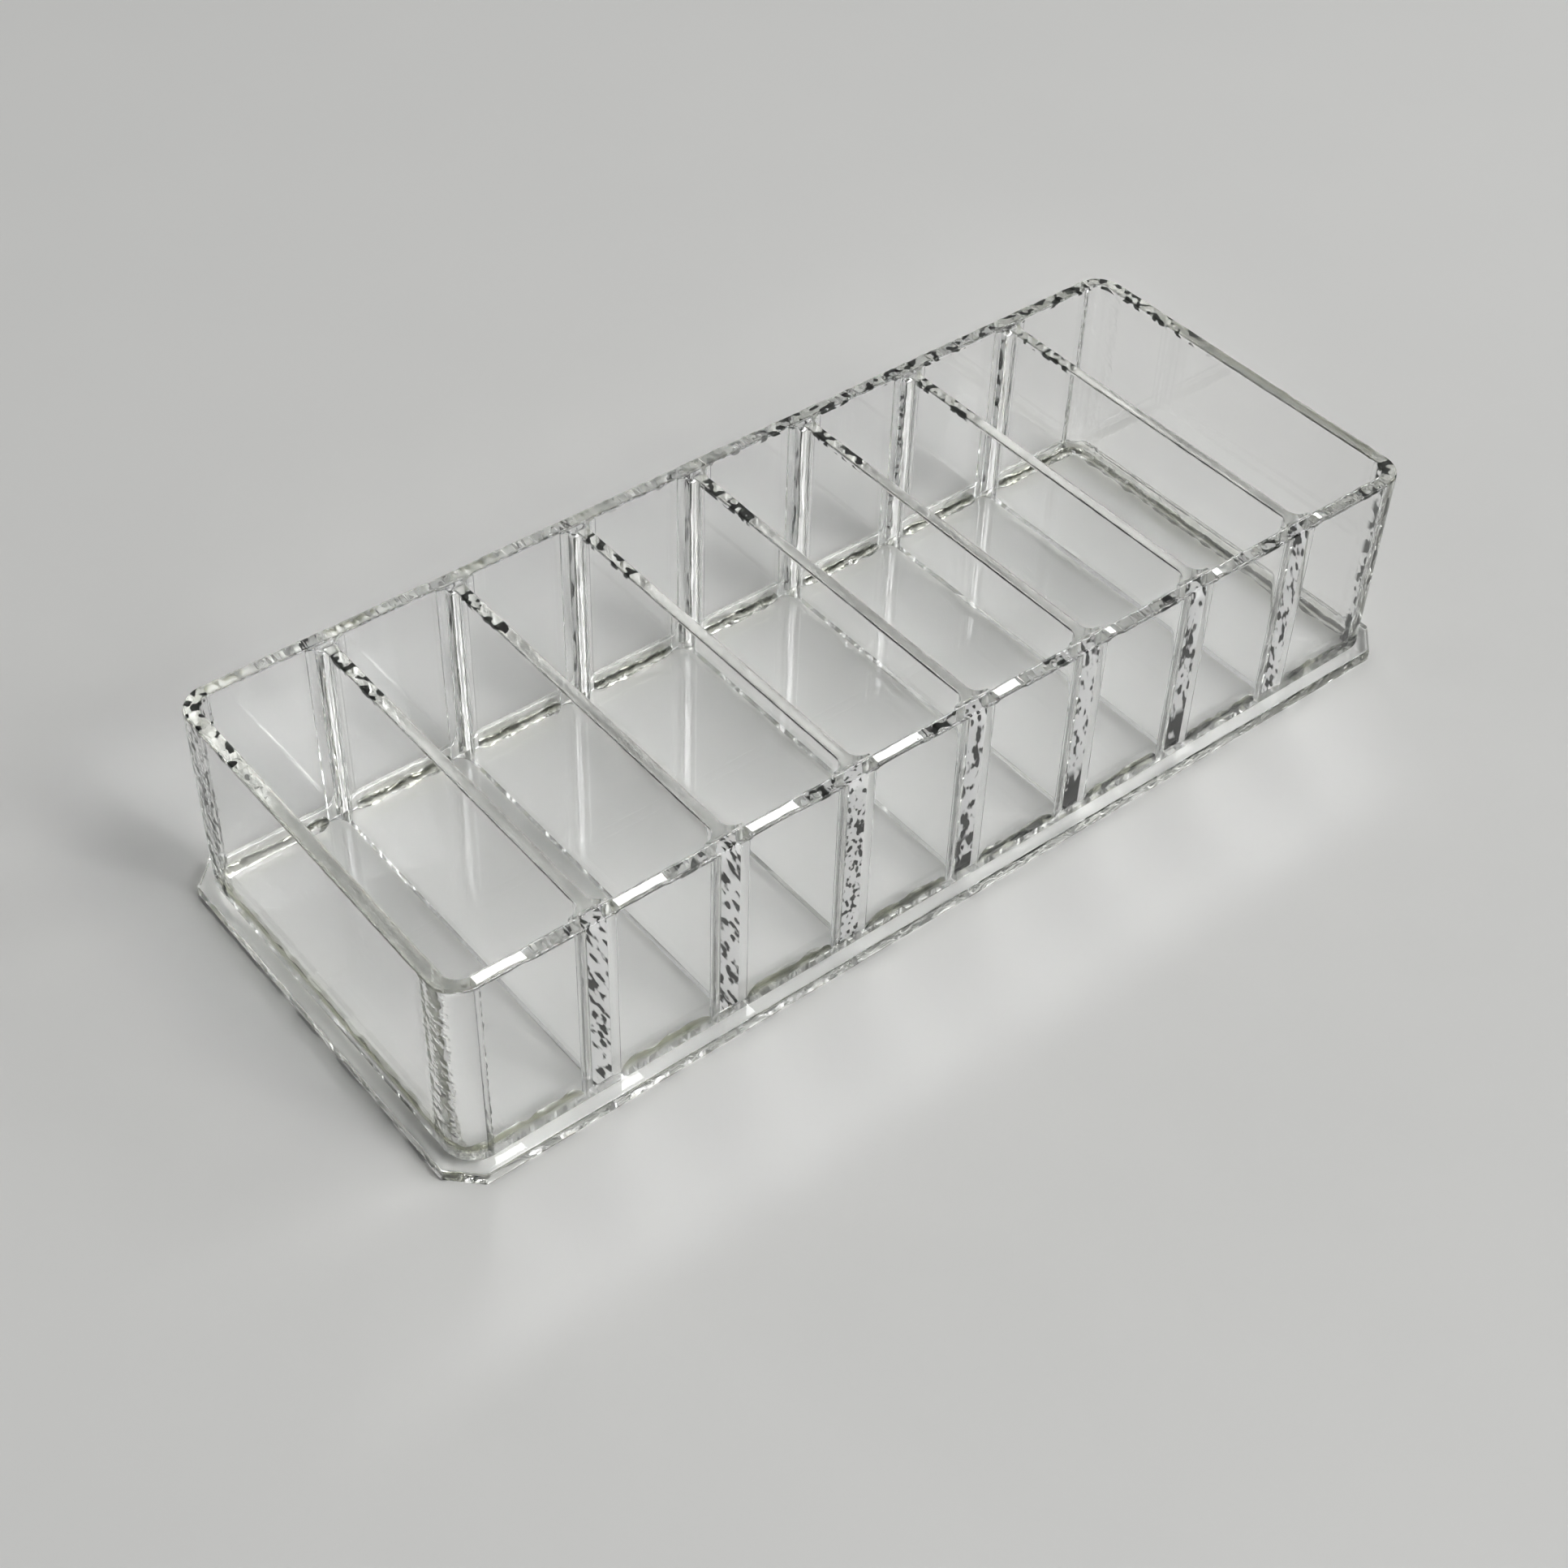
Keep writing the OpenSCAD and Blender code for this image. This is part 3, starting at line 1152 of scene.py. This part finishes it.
# %% [markdown]
# ## Light
#
# Clear things show the room more than themselves. The powers of these soft boxes were fitted:
# the scene was rendered once for each lamp alone, and the mix that came closest to the
# photograph's broad light and shade was kept. The key stands in front and to the right, a
# large pale card behind is what the edges and the lip of the base look at, and low windows
# stand on the left. The room's own light is weak, so the dark glints stay dark. In a low view
# the camera sees past the floor, and meets a pale backdrop there that gives no light.

# %% A soft box by bearing, height and turn
LAMP_REACH = 2.5
# name, compass bearing, height and turn in degrees, width and height in metres, power in watts
SOFT_BOXES = (
    ("key", 165, 42, 0, 0.80, 0.55, 14.5),
    ("key_side", 120, 42, 0, 0.96, 0.70, 10.5),
    ("key_high", 157, 59, 0, 0.80, 0.70, 11.0),
    ("window_left", 285, 10, 0, 2.46, 0.70, 13.5),
    ("window_back_left", 330, 10, 0, 1.28, 0.70, 16.0),
    ("window_back_high", 30, 22, 0, 1.16, 0.50, 3.2),
    ("strip_right", 150, 26, 0, 1.16, 0.70, 11.0),
    ("rear_card", 45, 44, 0, 3.0, 1.7, 8.2),
)


def soft_box(name, bearing, height, turn, width, tall, power):
    data = bpy.data.lights.new(name, "AREA")
    data.shape = "RECTANGLE"
    data.size, data.size_y = width, tall
    data.energy = power
    lamp = bpy.data.objects.new(name, data)
    scene.collection.objects.link(lamp)
    b, h, r = (math.radians(angle) for angle in (bearing, height, turn))
    out = Vector((math.sin(b) * math.cos(h), math.cos(b) * math.cos(h), math.sin(h)))
    level = Vector((math.cos(b), -math.sin(b), 0.0))
    along = math.cos(r) * level + math.sin(r) * level.cross(out)
    place = Matrix((along, out.cross(along), out)).transposed().to_4x4()
    place.translation = out * LAMP_REACH
    lamp.matrix_world = place
    lamp.visible_camera = False
    return lamp


for row in SOFT_BOXES:
    soft_box(*row)
print(len(SOFT_BOXES), "soft boxes")


# %% A dim room with a pale backdrop
ROOM_LIGHT = 0.03
BACKDROP = (0.55, 0.55, 0.54, 1)


def dim_room_with_pale_backdrop():
    """Weak light all round, and a pale wall where the camera looks past the floor's far edge."""
    world = bpy.data.worlds.new("room")
    world.use_nodes = True
    tree = world.node_tree
    room = tree.nodes["Background"]
    room.inputs["Color"].default_value = (1, 1, 1, 1)
    room.inputs["Strength"].default_value = ROOM_LIGHT
    backdrop = tree.nodes.new("ShaderNodeBackground")
    backdrop.inputs["Color"].default_value = BACKDROP
    rays = tree.nodes.new("ShaderNodeLightPath")
    pick = tree.nodes.new("ShaderNodeMixShader")
    sources = (rays.outputs["Is Camera Ray"], room.outputs[0], backdrop.outputs[0])
    for socket, source in zip(pick.inputs, sources):
        feed(tree, socket, source)
    feed(tree, tree.nodes["World Output"].inputs["Surface"], pick.outputs[0])
    return world


scene.world = dim_room_with_pale_backdrop()
print("room light", ROOM_LIGHT)


# %% [markdown]
# ## Lamps for the edges alone
#
# A photographer who wants an edge to shine hangs a narrow strip where only that edge mirrors
# it. In a renderer the same care is taken with light linking: a lamp is given a collection
# of receivers, and no other surface sees it. The strip hangs where the front rim mirrors it,
# so it draws the white bars and leaves no stripe on the base. Two small strong cards in front
# are seen only by the walls and the cement, whose steep slopes throw the view forwards. They
# are small, because a broad card would light the compartments' floors through the front wall.

# %% Link a strip to the front wall, and two cards to the walls and the cement
LINKED_BOXES = (
    ("rim_strip", 45.6, 44.5, -35, 1.40, 0.34, 25.0),
    ("sparkle_low", 215, 28, 0, 1.00, 0.60, 16.0),
    ("sparkle_high", 180, 48, 0, 1.00, 0.60, 16.0),
)
UPRIGHTS = [piece for piece in scene.collection.objects
            if piece.name.startswith("cement_") or piece.name.endswith("_wall_clear")]
RECEIVERS = {
    "rim_strip": [piece for piece in UPRIGHTS if piece.name == "front_wall_clear"],
    "sparkle_low": UPRIGHTS,
    "sparkle_high": UPRIGHTS,
}
for row in LINKED_BOXES:
    lamp = soft_box(*row)
    receivers = bpy.data.collections.new(lamp.name + "_receivers")
    for piece in RECEIVERS[lamp.name]:
        receivers.objects.link(piece)
    lamp.light_linking.receiver_collection = receivers


# %% [markdown]
# ## What clear pieces ask of the renderer
#
# A ray may cross a dozen sheets and bounce along inside one before it comes out, so it needs
# many bounces. The filter that blurs sharp reflections after a soft bounce is switched off:
# with it, the light that reaches the floor through the walls is lost, and the inside of
# the tray turns dark.

# %% Bounces, glossy filter and plain colours
LIGHT_BOUNCES = 40
SHEETS_CROSSED = 64
scene.cycles.max_bounces = LIGHT_BOUNCES
scene.cycles.transmission_bounces = LIGHT_BOUNCES
scene.cycles.glossy_bounces = LIGHT_BOUNCES
scene.cycles.transparent_max_bounces = SHEETS_CROSSED
scene.cycles.blur_glossy = 0.0
scene.view_settings.view_transform = "Standard"
print("light bounces:", LIGHT_BOUNCES)
